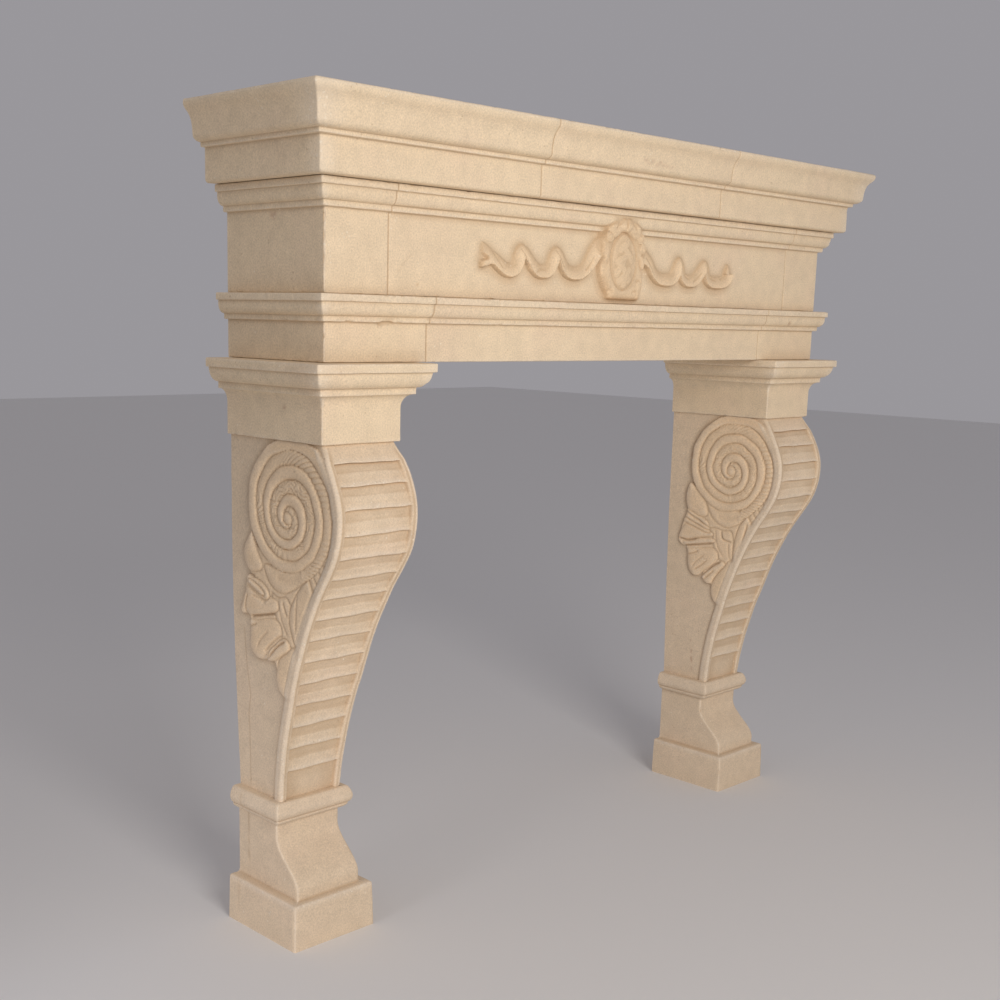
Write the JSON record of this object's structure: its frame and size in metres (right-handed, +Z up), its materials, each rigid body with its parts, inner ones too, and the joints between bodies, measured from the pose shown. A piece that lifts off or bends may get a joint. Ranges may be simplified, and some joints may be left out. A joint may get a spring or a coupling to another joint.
{
  "type": "fireplace mantel",
  "caption": "Carved limestone fireplace surround: scroll legs with capitals carry a moulded entablature, a frieze with cartouche and ribbons, and a shelf.",
  "frame": {"origin": "on the floor, in the middle of the mantel's width and depth", "axes": "+Z up, +X along the shelf to the viewer's right, +Y towards the wall behind"},
  "size_m": [1.6852, 0.365, 1.52],
  "materials": {
    "course_limestone": "matte",
    "leg_limestone": "matte",
    "capital_limestone": "matte"
  },
  "bodies": {
    "root": {"cornice_left": "course_limestone", "cornice_middle": "course_limestone", "cornice_right": "course_limestone", "frieze_left": "course_limestone", "frieze_middle": "course_limestone", "frieze_right": "course_limestone", "architrave_left": "course_limestone", "architrave_middle": "course_limestone", "architrave_right": "course_limestone", "capital_left": "capital_limestone", "capital_right": "capital_limestone", "leg_left": "leg_limestone", "leg_right": "leg_limestone"}
  },
  "joints": []
}
